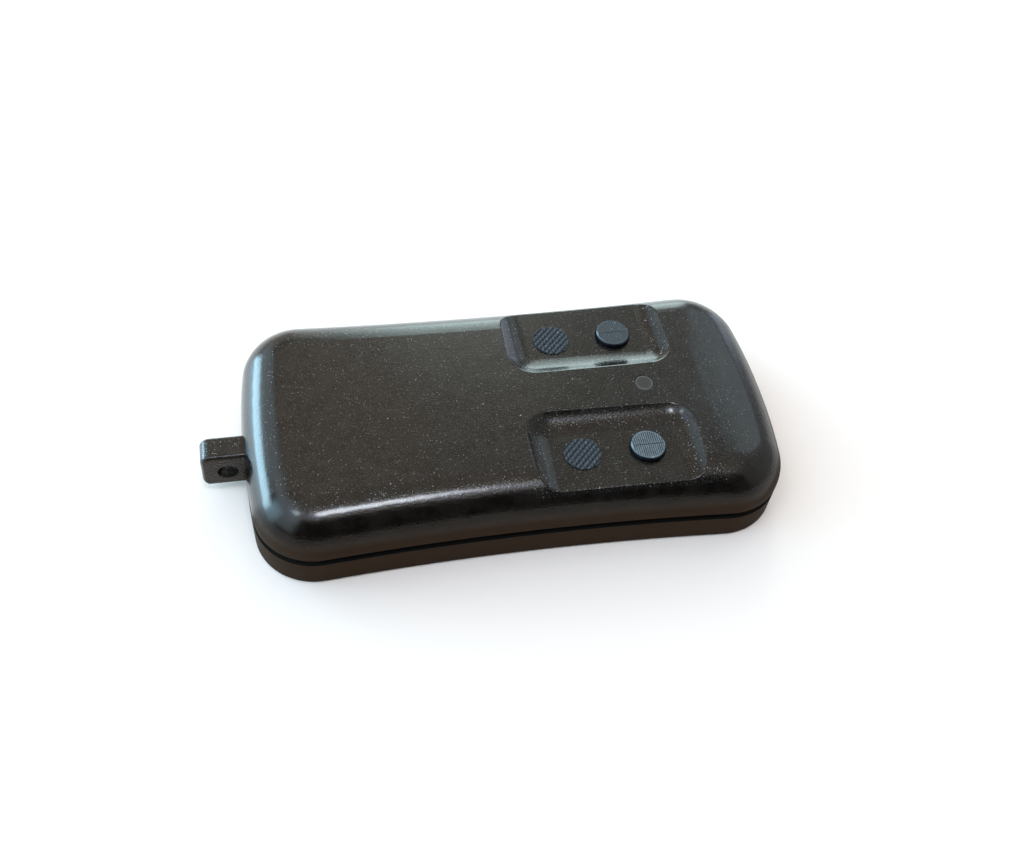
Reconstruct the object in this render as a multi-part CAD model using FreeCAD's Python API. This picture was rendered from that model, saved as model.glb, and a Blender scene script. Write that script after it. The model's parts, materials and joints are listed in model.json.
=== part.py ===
import FreeCAD
import Part
import math
import os

# Pocket remote control transmitter, all sizes in millimetres.
# Origin: middle of the flat base. +X runs to the button end, +Y to the far side, +Z up.

# Case outline and height
body_length = 72.0
body_width = 37.6
waist_depth = 1.65
lug_end_bulge = 1.8
button_end_bulge = 2.1
lug_end_corner = 7.8
button_end_corner = 8.2
body_height = 12.25
arch_rise = 0.65
crown_drop = 0.3
bend_from_end = 10.0
bend_radius = 33.0
shoulder_radius = 5.5
base_edge_radius = 0.6
wall = 1.6

# Shadow groove between the shells, with the tongue that lines them up
lower_wall_height = 4.2
groove_width = 1.1
groove_depth = 0.9
tongue_height = 2.0
tongue_clearance = 0.1

# Keyring lug
lug_reach = 5.45
lug_width = 3.6
lug_offset = -0.85
lug_below_split = 2.3
lug_above_split = 3.13
lug_end_radius = 1.3
lug_end_chamfer = 0.75
lug_edge_radius = 0.6
ring_hole_radius = 1.33
ring_hole_from_tip = 3.34
lug_slot_width = 1.4
lug_slot_height = 0.8

# Side recesses
recess_depth = 1.45
recess_from_end = 12.4
recess_length = 23.4
recess_inner_gap = 6.7
recess_wall_sweep = 4.6
recess_corner = 5.0
recess_rim_radius = 0.35

# Buttons, blanking plugs and indicator lamp
control_from_side = 8.93
button_from_end = 20.0
blank_from_end = 28.85
button_radius = 2.33
button_stand = 0.78
button_rim_chamfer = 0.16
button_clearance = 0.1
button_travel = 0.3
flange_width = 0.7
flange_thickness = 0.7
rib_pitch = 0.28
rib_depth = 0.07
rib_groove = 0.14
rib_margin = 0.14
blank_radius = 2.49
blank_stand = 0.25
blank_clearance = 0.03
knurl_pitch = 0.64
knurl_depth = 0.22
knurl_flat = 0.2
lamp_from_end = 18.1
lamp_radius = 1.45
lamp_window_radius = 1.3
lamp_window_depth = 0.8
lamp_nose_clearance = 0.03
lamp_rim_radius = 0.12
lamp_sink = 0.03
lamp_clearance = 0.1
lamp_length = 5.2
lamp_flange = 0.2
lamp_flange_height = 0.8
lamp_leg_width = 0.45
lamp_leg_pitch = 2.54
lead_hole_radius = 0.4
lead_trim = 1.0
lamp_play = 0.02

# Circuit board and its supports
board_thickness = 1.0
board_height = 3.0
board_gap = 0.5
standoff_radius = 1.6
standoff_from_end = 13.0
standoff_from_side = 6.2
pin_from_end = 9.0
pin_from_side = 7.3
pin_radius = 0.7
pin_boss_radius = 1.5
pin_clearance = 0.1
pin_depth = 2.0

# Case screw
screw_from_end = 7.6
screw_radius = 0.85
screw_bite = 4.6
screw_head_radius = 1.9
screw_head_height = 1.2
screw_head_round = 0.4
screw_clearance = 0.3
screw_head_clearance = 0.15
screw_boss_radius = 2.5
screw_tip_gap = 0.3
lower_boss_extra = 0.5
boss_root = 2.0
screw_seat_thickness = 1.2
screw_slot_width = 0.5
screw_slot_length = 2.1
screw_slot_depth = 0.7

# Cylinder battery and its contacts
battery_top_gap = 0.8
battery_end_gap = 3.5
battery_nub_radius = 1.6
battery_nub_length = 0.9
battery_edge_radius = 0.5
battery_floor_gap = 0.25
cradle_gap = 0.05
cradle_thickness = 1.2
cradle_width = 6.0
cradle_spread = 16.0
contact_thickness = 0.4
contact_width = 5.0
contact_above_axis = 2.75
contact_foot = 2.0
spring_from_end = 3.5
spring_room = 1.9
spring_plate_foot = 1.0
window_clearance = 0.3
leaf_thickness = 0.25
leaf_lift = 0.2
leaf_touch_gap = 0.03

# Tactile switches
switch_size = 6.0
plunger_stand = 1.25
switch_cover_thickness = 0.3
switch_cover_corner = 0.3
switch_cavity_radius = 2.25
plunger_radius = 1.7
plunger_flange_radius = 2.1
plunger_flange_height = 0.7
plunger_clearance = 0.1
dome_radius = 2.1
dome_thickness = 0.1
dome_room = 0.1
dome_rise = 0.4
terminal_width = 0.7
terminal_thickness = 0.2
terminal_reach = 1.3
terminal_rise = 1.2
terminal_spread = 4.5

# Small parts on the board
chip_from_end = 27.4
chip_length = 8.6
chip_width = 3.9
chip_height = 1.45
chip_stand = 0.15
chip_legs_per_side = 7
chip_leg_pitch = 1.27
chip_leg_width = 0.4
chip_leg_thickness = 0.2
chip_leg_reach = 1.05
chip_dot_radius = 0.4
chip_dot_depth = 0.1
chip_dot_inset = 1.0
resonator_from_end = 31.0
resonator_from_side = 8.4
resonator_radius = 3.2
resonator_height = 2.6
resonator_rim = 0.4
resonator_rim_height = 0.4
trimmer_from_end = 31.0
trimmer_from_side = 8.4
trimmer_size = 4.0
trimmer_height = 1.2
trimmer_rotor_radius = 1.6
trimmer_rotor_height = 0.6
trimmer_slot = 0.5
trimmer_corner = 0.5
transistor_from_end = 12.0
transistor_y = 6.0
transistor_length = 2.9
transistor_width = 1.3
transistor_height = 1.0
transistor_chamfer = 0.2
capacitor_from_end = 11.0
capacitor_y = -6.4
capacitor_radius = 2.0
capacitor_top_gap = 0.85
capacitor_base = 0.8
capacitor_base_margin = 0.15
capacitor_round = 0.4
coil_from_end = 35.6
coil_y = -6.0
coil_core_radius = 1.6
coil_waist_radius = 0.8
coil_height = 2.4
coil_flange_height = 0.5
coil_winding_radius = 1.44
antenna_inset = 1.6
antenna_width = 0.6
antenna_height = 2.2
antenna_from_end = 13.0
antenna_strip = 0.8
tiny_part_length = 1.6
tiny_part_width = 0.8
tiny_part_height = 0.5
tiny_part_pitch = 1.8
resistor_row = (-14.0, 8.0)
tiny_cap_row = (-14.0, -10.0)
tiny_parts_per_row = 5

# Places worked out from the sizes above
half_length = body_length / 2
half_width = body_width / 2
side_radius = (half_length ** 2 + waist_depth ** 2) / (2 * waist_depth)
side_centre = half_width - waist_depth + side_radius
arch_radius = (half_length ** 2 + arch_rise ** 2) / (2 * arch_rise)
crown_radius = (half_width ** 2 + crown_drop ** 2) / (2 * crown_drop)
bend_x = half_length - bend_from_end
split_z = lower_wall_height + groove_width / 2
upper_start = lower_wall_height + groove_width
tongue_top = lower_wall_height + tongue_height
recess_floor = body_height - recess_depth
recess_end = half_length - recess_from_end
recess_start = recess_end - recess_length
recess_inner_y = recess_inner_gap / 2
recess_underside = recess_floor - wall
lug_tip_x = -half_length - lug_reach
ring_hole_x = lug_tip_x + ring_hole_from_tip
board_top = board_height + board_thickness
board_inset = wall + board_gap
plunger_top = recess_underside - flange_thickness
switch_base_top = plunger_top - plunger_stand
switch_base_height = switch_base_top - board_top
pressed_plunger_low = switch_base_top - plunger_flange_height - button_travel
switch_floor = pressed_plunger_low - dome_room - dome_rise
control_offset = half_width - control_from_side
button_x = half_length - button_from_end
blank_x = half_length - blank_from_end
lamp_x = half_length - lamp_from_end
standoff_x = half_length - standoff_from_end
standoff_y = half_width - standoff_from_side
pin_x = pin_from_end - half_length
pin_y = half_width - pin_from_side
screw_x = half_length - screw_from_end
chip_x = half_length - chip_from_end
resonator_x = half_length - resonator_from_end
resonator_y = half_width - resonator_from_side
trimmer_x = half_length - trimmer_from_end
trimmer_y = trimmer_from_side - half_width
transistor_x = half_length - transistor_from_end
capacitor_x = half_length - capacitor_from_end
capacitor_height = recess_underside - board_top - capacitor_top_gap
coil_x = half_length - coil_from_end
antenna_start_x = half_length - antenna_from_end
battery_radius = (body_height - 2 * wall - battery_floor_gap - battery_top_gap) / 2
battery_z = wall + battery_floor_gap + battery_radius
contact_top = battery_z + contact_above_axis
spring_face = spring_from_end - half_length
battery_start = spring_face + spring_room
battery_end = recess_start - battery_end_gap
battery_length = battery_end - battery_start
battery_x = (battery_start + battery_end) / 2
contact_face = battery_end + battery_nub_length
window_start = spring_face
window_end = contact_face
reach = body_length
near_zero = 0.01
spare = 1.0
overrun = half_length + shoulder_radius


def vec(x, y, z):
    return FreeCAD.Vector(x, y, z)


def block(x0, x1, y0, y1, z0, z1):
    return Part.makeBox(x1 - x0, y1 - y0, z1 - z0, vec(x0, y0, z0))


def rod(radius, height, x, y, z):
    return Part.makeCylinder(radius, height, vec(x, y, z))


def plate(points, thickness, direction):
    wire = Part.makePolygon([vec(*p) for p in points + points[:1]])
    return Part.Face(wire).extrude(direction * thickness)


def lathe(points, x, y, z):
    # Turns a half section of (radius, height) points about a vertical axis.
    wire = Part.makePolygon([vec(r, 0, h) for r, h in points + points[:1]])
    solid = Part.Face(wire).revolve(vec(0, 0, 0), vec(0, 0, 1), 360)
    return solid.translated(vec(x, y, z))


def cut_all(solid, tools):
    for tool in tools:
        solid = solid.cut(tool)
    return solid


def fuse_all(solid, extras):
    for extra in extras:
        solid = solid.fuse(extra)
    return solid.removeSplitter()


def edges_where(solid, wanted):
    return [edge for edge in solid.Edges if wanted(edge.BoundBox)]


def circles_cross(first_x, first_y, first_r, second_x, second_y, second_r):
    # The two points where two circles meet.
    dx = second_x - first_x
    dy = second_y - first_y
    gap = math.hypot(dx, dy)
    along = (first_r ** 2 - second_r ** 2 + gap ** 2) / (2 * gap)
    across = math.sqrt(first_r ** 2 - along ** 2)
    base_x = first_x + along * dx / gap
    base_y = first_y + along * dy / gap
    choices = []
    for side in (1, -1):
        choices.append((base_x - side * across * dy / gap, base_y + side * across * dx / gap))
    return choices


def corner_centre(end_x, end_r, inset, corner, sign):
    # The corner's arc touches the end's arc from inside and the waisted side's arc from outside.
    choices = circles_cross(end_x, 0, end_r - corner, 0, side_centre, side_radius + inset + corner)
    return max(choices, key=lambda point: sign * point[0])


def toward(centre, target, distance):
    dx = target[0] - centre[0]
    dy = target[1] - centre[1]
    gap = math.hypot(dx, dy)
    return (centre[0] + dx * distance / gap, centre[1] + dy * distance / gap)


def quarter(sign, bulge, corner_radius, inset):
    # End point on the long axis, corner arc points and side start for one end, far side only.
    end_radius = (half_width ** 2 + bulge ** 2) / (2 * bulge)
    end_x = sign * (half_length - end_radius)
    end_r = end_radius - inset
    corner = corner_radius - inset
    centre = corner_centre(end_x, end_r, inset, corner, sign)
    on_end = toward((end_x, 0), centre, end_r)
    on_side = toward(centre, (0, side_centre), corner)
    middle_way = ((on_end[0] + on_side[0]) / 2, (on_end[1] + on_side[1]) / 2)
    middle = toward(centre, middle_way, corner)
    tip = (end_x + sign * end_r, 0)
    return tip, on_end, middle, on_side


def outline(inset, z):
    # Closed case outline: two bulged ends, two waisted sides and four round corners.
    button_end = quarter(1, button_end_bulge, button_end_corner, inset)
    lug_end = quarter(-1, lug_end_bulge, lug_end_corner, inset)
    side_middle = (0, side_centre - side_radius - inset)

    def at(point, side):
        return vec(point[0], side * point[1], z)

    arcs = [
        (at(button_end[1], -1), at(button_end[0], 1), at(button_end[1], 1)),
        (at(button_end[1], 1), at(button_end[2], 1), at(button_end[3], 1)),
        (at(button_end[3], 1), at(side_middle, 1), at(lug_end[3], 1)),
        (at(lug_end[3], 1), at(lug_end[2], 1), at(lug_end[1], 1)),
        (at(lug_end[1], 1), at(lug_end[0], 1), at(lug_end[1], -1)),
        (at(lug_end[1], -1), at(lug_end[2], -1), at(lug_end[3], -1)),
        (at(lug_end[3], -1), at(side_middle, -1), at(button_end[3], -1)),
        (at(button_end[3], -1), at(button_end[2], -1), at(button_end[1], -1)),
    ]
    return Part.Wire([Part.Arc(*points).toShape() for points in arcs])


def prism(inset, z0, z1):
    return Part.Face(outline(inset, z0)).extrude(vec(0, 0, z1 - z0))


def top_cutters(inset):
    # Space above the crowned, arched top, and above its bend down to the button end.
    crown = crown_radius - inset
    edge_y = half_width + spare
    edge_z = body_height - inset - crown + math.sqrt(crown ** 2 - edge_y ** 2)
    roof = 2 * body_height
    arc = Part.Arc(vec(0, -edge_y, edge_z), vec(0, 0, body_height - inset), vec(0, edge_y, edge_z))
    sides = Part.makePolygon([vec(0, edge_y, edge_z), vec(0, edge_y, roof),
                              vec(0, -edge_y, roof), vec(0, -edge_y, edge_z)])
    section = Part.Face(Part.Wire([arc.toShape()] + sides.Edges))
    arch_centre = vec(0, 0, body_height - arch_radius)
    along_y = vec(0, 1, 0)
    start_angle = math.degrees(math.asin(overrun / arch_radius))
    bend_angle = math.degrees(math.asin(bend_x / arch_radius))
    arch = section.copy()
    arch.rotate(arch_centre, along_y, -start_angle)
    arch = arch.revolve(arch_centre, along_y, start_angle + bend_angle)
    lever = arch_radius - bend_radius
    tilt = math.radians(bend_angle)
    bend_centre = arch_centre + vec(lever * math.sin(tilt), 0, lever * math.cos(tilt))
    bend_sweep = math.degrees(math.asin((overrun - bend_centre.x) / bend_radius)) - bend_angle
    bend = section.copy()
    bend.rotate(arch_centre, along_y, bend_angle)
    bend = bend.revolve(bend_centre, along_y, bend_sweep)
    return [arch, bend]


def case_form(inset, z0):
    # The closed case from z0 up, drawn in from the outside by the inset.
    form = cut_all(prism(inset, 0, body_height + spare), top_cutters(inset))
    ring = outline(inset, 0)
    rim = []
    for edge in form.Edges:
        middle = edge.valueAt((edge.FirstParameter + edge.LastParameter) / 2)
        flat = Part.Vertex(middle.x, middle.y, 0)
        if edge.BoundBox.ZMin > body_height / 2 and ring.distToShape(flat)[0] < near_zero:
            rim.append(edge)
    form = form.makeFillet(shoulder_radius - inset, rim)
    return form.common(prism(0, z0, body_height + spare))


def recess_form(side, grow):
    # One side recess as a solid, open through the side; grow gives the wall that lines it inside.
    sweep = recess_wall_sweep + grow
    lead = recess_wall_sweep - math.sqrt(recess_wall_sweep ** 2
                                         - (recess_wall_sweep - recess_depth) ** 2)
    x0 = recess_start - lead - grow
    x1 = recess_end + lead + grow
    y0 = recess_inner_y - lead - grow
    y1 = half_width + wall + sweep
    z0 = recess_floor - grow
    solid = block(x0, x1, y0, y1, z0, z0 + body_height)
    upright = edges_where(solid, lambda b: b.ZLength > near_zero and b.YMax < y0 + near_zero)
    solid = solid.makeFillet(recess_corner + grow, upright)
    foot = edges_where(solid, lambda b: b.ZMax < z0 + near_zero and b.YMin < y1 - near_zero)
    solid = solid.makeFillet(sweep, foot)
    if side < 0:
        solid = solid.mirror(vec(0, 0, 0), vec(0, 1, 0))
    return solid


def soften_recess_rims(shell):
    # Rounds the rim where each recess wall runs out into the top.
    for side in (1, -1):
        rim = []
        for edge in shell.Edges:
            box = edge.BoundBox
            middle = edge.valueAt((edge.FirstParameter + edge.LastParameter) / 2)
            beside = recess_start - spare < middle.x < recess_end + spare
            across = recess_inner_y - spare < side * middle.y < half_width - shoulder_radius
            if beside and across and box.ZMin > recess_floor + recess_depth / 2:
                rim.append(edge)
        shell = shell.makeFillet(recess_rim_radius, rim)
    return shell


def lug_half(z0, z1, skin):
    # Half of the keyring lug, let into the wall by the skin, with its half of the ring hole.
    y0 = lug_offset - lug_width / 2
    y1 = lug_offset + lug_width / 2
    bottom = split_z - lug_below_split
    top = split_z + lug_above_split
    solid = block(lug_tip_x, -half_length + lug_end_bulge + wall, y0, y1, bottom, top)
    tip = edges_where(solid, lambda b: b.XMax < lug_tip_x + near_zero and b.YLength > near_zero)
    low_tip = [edge for edge in tip if edge.BoundBox.ZMax < split_z]
    solid = solid.makeChamfer(lug_end_chamfer, low_tip)
    high_tip = edges_where(solid, lambda b: b.XMax < lug_tip_x + near_zero and b.YLength > near_zero
                           and b.ZMin > top - near_zero)
    solid = solid.makeFillet(lug_end_radius, high_tip)
    top_rim = edges_where(solid, lambda b: b.YLength < near_zero and b.ZMin > split_z)
    solid = solid.makeFillet(lug_edge_radius, top_rim)
    hole = Part.makeCylinder(ring_hole_radius, lug_width, vec(ring_hole_x, y0, split_z), vec(0, 1, 0))
    slot = block(-reach, ring_hole_x, lug_offset - lug_slot_width / 2,
                 lug_offset + lug_slot_width / 2, split_z - lug_slot_height / 2,
                 split_z + lug_slot_height / 2)
    solid = cut_all(solid, [hole, slot, prism(skin, 0, body_height)])
    return solid.common(block(-reach, reach, -reach, reach, z0, z1))


def inner_top(x, y):
    # Height of the inside of the top above a place, away from the shoulders.
    arch = math.sqrt(arch_radius ** 2 - x ** 2) - arch_radius
    crown = math.sqrt(crown_radius ** 2 - y ** 2) - crown_radius
    return body_height + arch + crown - wall


def upper_shell():
    outer = case_form(0, upper_start)
    hollow = case_form(wall, board_top)
    for side in (1, -1):
        hollow = hollow.cut(recess_form(side, wall))
    boss = rod(screw_boss_radius, body_height, screw_x, 0, board_top)
    hollow = hollow.cut(boss)
    for side in (1, -1):
        pin_boss = rod(pin_boss_radius, body_height, pin_x, side * pin_y, board_top)
        hollow = hollow.cut(pin_boss)
    rebate = groove_depth - tongue_clearance
    socket = prism(rebate, 0, tongue_top)
    shell = outer.cut(hollow)
    shell = shell.cut(recess_form(1, 0))
    shell = shell.cut(recess_form(-1, 0))
    shell = soften_recess_rims(shell)
    shell = shell.cut(socket)
    extras = [lug_half(split_z, body_height, groove_depth / 2)]
    extras.append(rod(screw_boss_radius, upper_start + boss_root - board_top, screw_x, 0, board_top))
    for side in (1, -1):
        y = side * pin_y
        extras.append(rod(pin_boss_radius, upper_start + boss_root - board_top, pin_x, y, board_top))
        extras.append(rod(pin_radius, pin_depth + boss_root, pin_x, y, board_top - pin_depth))
    shell = fuse_all(shell, extras)
    cutters = [rod(screw_radius, screw_bite, screw_x, 0, board_top)]
    for side in (1, -1):
        y = side * control_offset
        cutters.append(rod(button_radius + button_clearance, reach, button_x, y, board_top))
        cutters.append(rod(blank_radius + blank_clearance, reach, blank_x, y, board_top))
    lamp_top = inner_top(lamp_x, 0) + wall
    cutters.append(rod(lamp_window_radius, reach, lamp_x, 0, board_top))
    cutters.append(rod(lamp_radius + lamp_clearance, lamp_top - lamp_window_depth - board_top,
                       lamp_x, 0, board_top))
    return cut_all(shell, cutters)


def battery_saddle(x):
    # Cross rib under the battery, hollowed to its curve.
    rib = block(x - cradle_thickness / 2, x + cradle_thickness / 2, -cradle_width / 2,
                cradle_width / 2, base_edge_radius, board_height)
    curve = Part.makeCylinder(battery_radius + cradle_gap, reach, vec(x - reach / 2, 0, battery_z),
                              vec(1, 0, 0))
    return rib.cut(curve)


def lower_shell():
    outer = prism(0, 0, lower_wall_height)
    base_edges = edges_where(outer, lambda b: b.ZMax < near_zero)
    outer = outer.makeFillet(base_edge_radius, base_edges)
    tongue = prism(groove_depth, base_edge_radius, tongue_top)
    shell = outer.fuse(tongue).cut(prism(wall, wall, body_height))
    extras = [lug_half(0, split_z, groove_depth / 2)]
    extras.append(rod(screw_boss_radius + lower_boss_extra, board_height - base_edge_radius, screw_x, 0,
                      base_edge_radius))
    for side in (1, -1):
        extras.append(rod(pin_boss_radius + lower_boss_extra, board_height - base_edge_radius, pin_x,
                          side * pin_y, base_edge_radius))
        extras.append(rod(standoff_radius, board_height - base_edge_radius, standoff_x,
                          side * standoff_y, base_edge_radius))
    for place in (-1, 1):
        extras.append(battery_saddle(battery_x + place * cradle_spread / 2))
    shell = fuse_all(shell, extras)
    seat = board_height - screw_seat_thickness
    cutters = [rod(screw_head_radius + screw_head_clearance, seat, screw_x, 0, 0)]
    cutters.append(rod(screw_radius + screw_clearance, board_height, screw_x, 0, 0))
    for side in (1, -1):
        cutters.append(rod(pin_radius + pin_clearance, board_height, pin_x, side * pin_y,
                           board_top - pin_depth - pin_clearance))
    return cut_all(shell, cutters)


def push_button(side):
    # Cap with a ribbed top, held in by a flange under the shell.
    y = side * control_offset
    top = recess_floor + button_stand
    cap = rod(button_radius, top - plunger_top, button_x, y, plunger_top)
    rim = edges_where(cap, lambda b: b.ZMin > top - near_zero)
    cap = cap.makeChamfer(button_rim_chamfer, rim)
    flange = rod(button_radius + flange_width, flange_thickness, button_x, y, plunger_top)
    cap = fuse_all(cap, [flange])
    flat_radius = button_radius - button_rim_chamfer
    low = top - rib_depth
    count = int((flat_radius - rib_margin) / rib_pitch)
    for index in range(-count, count + 1):
        x = button_x + index * rib_pitch
        half = math.sqrt(flat_radius ** 2 - (index * rib_pitch) ** 2) - rib_margin
        cap = cap.cut(block(x - rib_groove / 2, x + rib_groove / 2, y - half, y + half, low, top + spare))
    cross = flat_radius - 2 * rib_margin
    return cap.cut(block(button_x - cross, button_x + cross, y - rib_groove / 2, y + rib_groove / 2,
                         low, top + spare))


def blanking_plug(side):
    # Plug for an unused button place, with a diamond-knurled head.
    y = side * control_offset
    top = recess_floor + blank_stand
    plug = rod(blank_radius, top - plunger_top, blank_x, y, plunger_top)
    flange = rod(blank_radius + flange_width, flange_thickness, blank_x, y, plunger_top)
    plug = fuse_all(plug, [flange])
    count = int(blank_radius / knurl_pitch) + 1
    half = knurl_pitch - knurl_flat
    grooves = []
    for turn in (45, -45):
        for index in range(-count, count + 1):
            x = (index + 0.5) * knurl_pitch
            groove = plate([(x, -reach / 2, -knurl_depth), (x + half, -reach / 2, knurl_depth),
                            (x - half, -reach / 2, knurl_depth)], reach, vec(0, 1, 0))
            groove.rotate(vec(0, 0, 0), vec(0, 0, 1), turn)
            grooves.append(groove.translated(vec(blank_x, y, top)))
    return cut_all(plug, grooves)


def lamp_face():
    return inner_top(lamp_x, 0) + wall - lamp_sink


def indicator_lamp():
    # Flat-topped lamp: its nose fills the window, its body stays under the shoulder there.
    face = lamp_face()
    bottom = face - lamp_length
    shoulder = face + lamp_sink - lamp_window_depth - lamp_play
    nose = rod(lamp_window_radius - lamp_nose_clearance, lamp_length, lamp_x, 0, bottom)
    rim = edges_where(nose, lambda b: b.ZMin > face - near_zero)
    nose = nose.makeFillet(lamp_rim_radius, rim)
    body = rod(lamp_radius, shoulder - bottom, lamp_x, 0, bottom)
    foot = rod(lamp_radius + lamp_flange, lamp_flange_height, lamp_x, 0, bottom)
    return fuse_all(nose, [body, foot])


def lamp_legs():
    bottom = lamp_face() - lamp_length
    legs = []
    for side in (1, -1):
        x = lamp_x + side * lamp_leg_pitch / 2
        half = lamp_leg_width / 2
        legs.append(block(x - half, x + half, -half, half, board_height - lead_trim, bottom))
    return legs


def lamp_leg_places():
    return [(leg.BoundBox.Center.x, leg.BoundBox.Center.y) for leg in lamp_legs()]


def circuit_board():
    board = prism(board_inset, board_height, board_top)
    window_half = battery_radius + window_clearance
    window = block(window_start, window_end, -window_half, window_half, 0, body_height)
    cutters = [window, rod(screw_radius + screw_clearance, body_height, screw_x, 0, 0)]
    for side in (1, -1):
        cutters.append(rod(pin_radius + pin_clearance, body_height, pin_x, side * pin_y, 0))
    for x, y in lamp_leg_places():
        cutters.append(rod(lead_hole_radius, body_height, x, y, 0))
    return cut_all(board, cutters)


def case_screw():
    # Pan head, shank and a cross slot, driven up from the base.
    head_z = board_height - screw_seat_thickness - screw_head_height
    length = board_top + screw_bite - screw_tip_gap - head_z
    head = rod(screw_head_radius, screw_head_height, screw_x, 0, head_z)
    rim = edges_where(head, lambda b: b.ZMax < head_z + near_zero)
    head = head.makeFillet(screw_head_round, rim)
    shank = rod(screw_radius, length, screw_x, 0, head_z)
    screw = fuse_all(head, [shank])
    long_half = screw_slot_length / 2
    short_half = screw_slot_width / 2
    for half_x, half_y in ((long_half, short_half), (short_half, long_half)):
        screw = screw.cut(block(screw_x - half_x, screw_x + half_x, -half_y, half_y, 0,
                                head_z + screw_slot_depth))
    return screw


def battery():
    can = Part.makeCylinder(battery_radius, battery_length, vec(battery_start, 0, battery_z),
                            vec(1, 0, 0))
    can = can.makeFillet(battery_edge_radius, [e for e in can.Edges if len(e.Vertexes) == 1])
    nub = Part.makeCylinder(battery_nub_radius, contact_face - battery_x, vec(battery_x, 0, battery_z),
                            vec(1, 0, 0))
    return fuse_all(can, [nub])


def battery_contact():
    # Bent plate against the battery's nub, with its foot on the board.
    x = contact_face
    t = contact_thickness
    top = contact_top
    points = [(x, -contact_width / 2, board_top), (x + contact_foot, -contact_width / 2, board_top),
              (x + contact_foot, -contact_width / 2, board_top + t),
              (x + t, -contact_width / 2, board_top + t), (x + t, -contact_width / 2, top),
              (x, -contact_width / 2, top)]
    return plate(points, contact_width, vec(0, 1, 0))


def spring_contact():
    # Plate at the lug end with a bowed leaf that presses on the battery's flat end.
    x = spring_face
    t = contact_thickness
    y = -contact_width / 2
    top = contact_top
    points = [(x, y, board_top), (x, y, top), (x - t, y, top), (x - t, y, board_top + t),
              (x - spring_plate_foot, y, board_top + t), (x - spring_plate_foot, y, board_top)]
    body = plate(points, contact_width, vec(0, 1, 0))
    crest = spring_room - leaf_touch_gap
    low = board_top + leaf_lift
    middle = (low + top) / 2
    outer = Part.Arc(vec(x, y, low), vec(x + crest, y, middle), vec(x, y, top)).toShape()
    inner = Part.Arc(vec(x, y, top - leaf_thickness), vec(x + crest - leaf_thickness, y, middle),
                     vec(x, y, low + leaf_thickness)).toShape()
    ends = [Part.makeLine(vec(x, y, top), vec(x, y, top - leaf_thickness)),
            Part.makeLine(vec(x, y, low + leaf_thickness), vec(x, y, low))]
    leaf = Part.Face(Part.Wire([outer, ends[0], inner, ends[1]])).extrude(vec(0, contact_width, 0))
    return fuse_all(body, [leaf])


def switch_base(side):
    y = side * control_offset
    half = switch_size / 2
    base = block(button_x - half, button_x + half, y - half, y + half, board_top, switch_base_top)
    return base.cut(rod(switch_cavity_radius, switch_base_height, button_x, y, switch_floor))


def switch_cover(side):
    y = side * control_offset
    half = switch_size / 2
    cover = block(button_x - half, button_x + half, y - half, y + half, switch_base_top,
                  switch_base_top + switch_cover_thickness)
    upright = edges_where(cover, lambda b: b.ZLength > switch_cover_thickness / 2)
    cover = cover.makeFillet(switch_cover_corner, upright)
    return cover.cut(rod(plunger_radius + plunger_clearance, reach, button_x, y, board_top))


def switch_plunger(side):
    # Held up under the cover by its flange, reaching up to the button.
    y = side * control_offset
    low = switch_base_top - plunger_flange_height
    stem = rod(plunger_radius, plunger_top - low, button_x, y, low)
    flange = rod(plunger_flange_radius, plunger_flange_height, button_x, y, low)
    return fuse_all(stem, [flange])


def switch_dome(side):
    # Thin snap dome on the switch floor, just clear of the pressed plunger.
    y = side * control_offset
    outer_radius = (dome_radius ** 2 + dome_rise ** 2) / (2 * dome_rise)
    centre = switch_floor + dome_rise - outer_radius
    outer = Part.makeSphere(outer_radius, vec(button_x, y, centre))
    inner = Part.makeSphere(outer_radius - dome_thickness, vec(button_x, y, centre))
    shell = outer.cut(inner)
    return shell.common(rod(dome_radius, switch_base_height, button_x, y, switch_floor))


def switch_terminals(side):
    # Four bent legs that stand on the board against the base.
    y = side * control_offset
    legs = []
    for end in (1, -1):
        face = button_x + end * switch_size / 2
        tip = face + end * terminal_reach
        skin = face + end * terminal_thickness
        top = board_top + terminal_rise
        foot = board_top + terminal_thickness
        for row in (1, -1):
            start = y + row * terminal_spread / 2 - terminal_width / 2
            points = [(face, start, board_top), (tip, start, board_top), (tip, start, foot),
                      (skin, start, foot), (skin, start, top), (face, start, top)]
            legs.append(plate(points, terminal_width, vec(0, 1, 0)))
    return legs


def encoder_chip():
    half = chip_width / 2
    low = board_top + chip_stand
    body = block(chip_x - chip_length / 2, chip_x + chip_length / 2, -half, half, low,
                 low + chip_height)
    return body.cut(rod(chip_dot_radius, chip_height, chip_x - chip_length / 2 + chip_dot_inset,
                        -half + chip_dot_inset, low + chip_height - chip_dot_depth))


def encoder_legs():
    legs = []
    top = board_top + chip_stand + chip_height / 2
    t = chip_leg_thickness
    for side in (1, -1):
        face = side * chip_width / 2
        knee = face + side * chip_leg_reach / 2
        tip = face + side * chip_leg_reach
        back = knee - side * t
        for index in range(chip_legs_per_side):
            x = chip_x + (index - (chip_legs_per_side - 1) / 2) * chip_leg_pitch - chip_leg_width / 2
            points = [(x, face, top), (x, knee, top), (x, knee, board_top + t), (x, tip, board_top + t),
                      (x, tip, board_top), (x, back, board_top), (x, back, top - t), (x, face, top - t)]
            legs.append(plate(points, chip_leg_width, vec(1, 0, 0)))
    return legs


def resonator_can():
    profile = [(0, 0), (resonator_radius + resonator_rim, 0),
               (resonator_radius + resonator_rim, resonator_rim_height),
               (resonator_radius, resonator_rim_height), (resonator_radius, resonator_height),
               (0, resonator_height)]
    return lathe(profile, resonator_x, resonator_y, board_top)


def trimmer_base():
    half = trimmer_size / 2
    base = block(trimmer_x - half, trimmer_x + half, trimmer_y - half, trimmer_y + half, board_top,
                 board_top + trimmer_height)
    upright = edges_where(base, lambda b: b.ZLength > trimmer_height / 2)
    return base.makeFillet(trimmer_corner, upright)


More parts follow.
